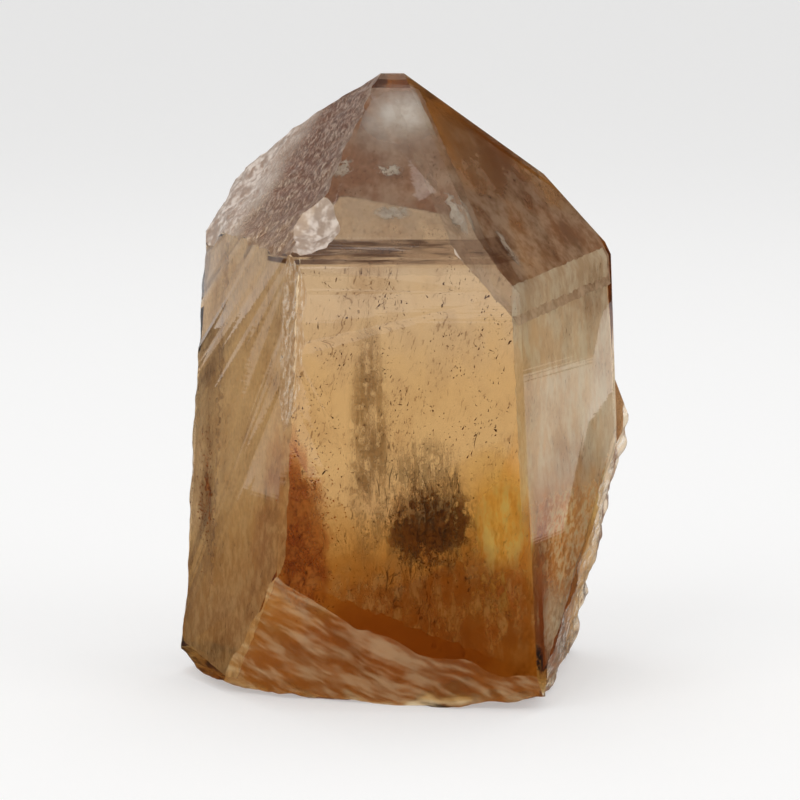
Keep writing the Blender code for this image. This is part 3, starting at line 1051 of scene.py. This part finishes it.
studio = {
    "bowlFlat": 0.7,
    "bowlSteps": 48,
    "bowlStep": 0.07,
    "bowlColour": (0.64, 0.64, 0.64),
    "flagLift": 0.0002,
    "flagColour": (0.02, 0.02, 0.02),
    "cardPlace": (0.64, 0.62, 0.51),
    "cardSize": 0.7,
    "glowColour": (1.0, 1.0, 1.0),
    "glow": 0.37,
    "worldColour": (1.0, 0.995, 0.985),
    "worldStrength": 0.52,
    "lights": (  # name, place, width, height, power, colour
        ("key", (-0.62, -0.70, 0.85), 0.7, 0.7, 2.8, (1.0, 0.99, 0.98)),
        ("fill", (0.85, -0.55, 0.5), 0.6, 0.8, 2.2, (1.0, 1.0, 1.0)),
        ("over", (0.0, 0.25, 1.25), 1.0, 1.0, 3.4, (1.0, 1.0, 1.0)),
    ),
}


def bowl():
    # the wall leaves the floor ever more steeply, so that no edge shows behind the crystal
    mesh = bmesh.new()
    r, z = studio["bowlFlat"], 0.0
    profile = [(0.0, 0.0), (r * 0.5, 0.0), (r, 0.0)]
    for step in range(studio["bowlSteps"]):
        angle = math.radians(90.0) * min(1.0, ((step + 0.5) / studio["bowlSteps"]) ** 2 * 1.2)
        r += math.cos(angle) * studio["bowlStep"]
        z += math.sin(angle) * studio["bowlStep"]
        profile.append((r, z))
    verts = [mesh.verts.new((r, 0, z)) for r, z in profile]
    edges = [mesh.edges.new(pair) for pair in zip(verts, verts[1:])]
    bmesh.ops.spin(
        mesh, geom=verts + edges, cent=(0, 0, 0), axis=(0, 0, 1), angle=math.radians(360), steps=96,
        use_merge=True,
    )
    bmesh.ops.remove_doubles(mesh, verts=mesh.verts, dist=1e-5)
    made = meshObject("backdrop", mesh)
    made.data.polygons.foreach_set("use_smooth", [True] * len(made.data.polygons))
    g = Graph("backdropPaper")
    made.data.materials.append(
        g.finish(g.node(
            "ShaderNodeBsdfPrincipled", Base_Color=studio["bowlColour"], Roughness=0.9,
            Specular_IOR_Level=0.0, Emission_Color=studio["glowColour"], Emission_Strength=studio["glow"],
        ))
    )


def darkFlag():
    # a matt black disc on the floor, which only reflections meet
    mesh = bmesh.new()
    bmesh.ops.create_circle(mesh, cap_ends=True, segments=72, radius=studio["bowlFlat"])
    bmesh.ops.translate(mesh, verts=mesh.verts, vec=(0, 0, studio["flagLift"]))
    reflectedOnly(meshObject("flag", mesh))


def darkCard():
    # a matt black card high behind on the right, which only reflections meet
    mesh = bmesh.new()
    bmesh.ops.create_grid(mesh, x_segments=1, y_segments=1, size=studio["cardSize"] / 2)
    made = meshObject("card", mesh)
    aimed(made, studio["cardPlace"], (0.0, 0.0, 0.07))
    reflectedOnly(made)


def reflectedOnly(made):
    g = Graph("flagBlack")
    made.data.materials.append(
        g.finish(g.node("ShaderNodeBsdfPrincipled", Base_Color=studio["flagColour"], Roughness=1.0))
    )
    made.visible_camera = made.visible_diffuse = made.visible_transmission = made.visible_shadow = False


def aimed(made, place, target):
    made.location = place
    made.rotation_mode = "QUATERNION"
    made.rotation_quaternion = (Vector(target) - Vector(place)).to_track_quat("-Z", "Y")


def lights():
    for name, place, width, height, power, colour in studio["lights"]:
        data = bpy.data.lights.new(name, "AREA")
        data.shape = "RECTANGLE"
        data.size = width
        data.size_y = height
        data.energy = power
        data.color = colour
        aimed(addObject(name, data), place, (0.0, 0.0, 0.04))
    world = bpy.data.worlds.new("studio")
    bpy.context.scene.world = world
    world.use_nodes = True
    background = world.node_tree.nodes["Background"]
    background.inputs["Color"].default_value = (*studio["worldColour"], 1.0)
    background.inputs["Strength"].default_value = studio["worldStrength"]


view = {"target": (-0.95, -5.16, 43.67), "rise": 8.0, "distance": 450.0, "halfWidth": 59.7}


def camera():
    data = bpy.data.cameras.new("camera")
    data.sensor_width = 36.0
    data.lens = 18.0 * view["distance"] / view["halfWidth"]
    data.clip_start = 0.01
    made = addObject("camera", data)
    target = Vector(view["target"]) * mm
    aimed(made, target + outward(0.0, view["rise"]) * view["distance"] * mm, target)
    bpy.context.scene.camera = made
    bpy.context.scene.view_settings.view_transform = "Standard"


bowl()
darkFlag()
darkCard()
lights()
camera()
print("room set")
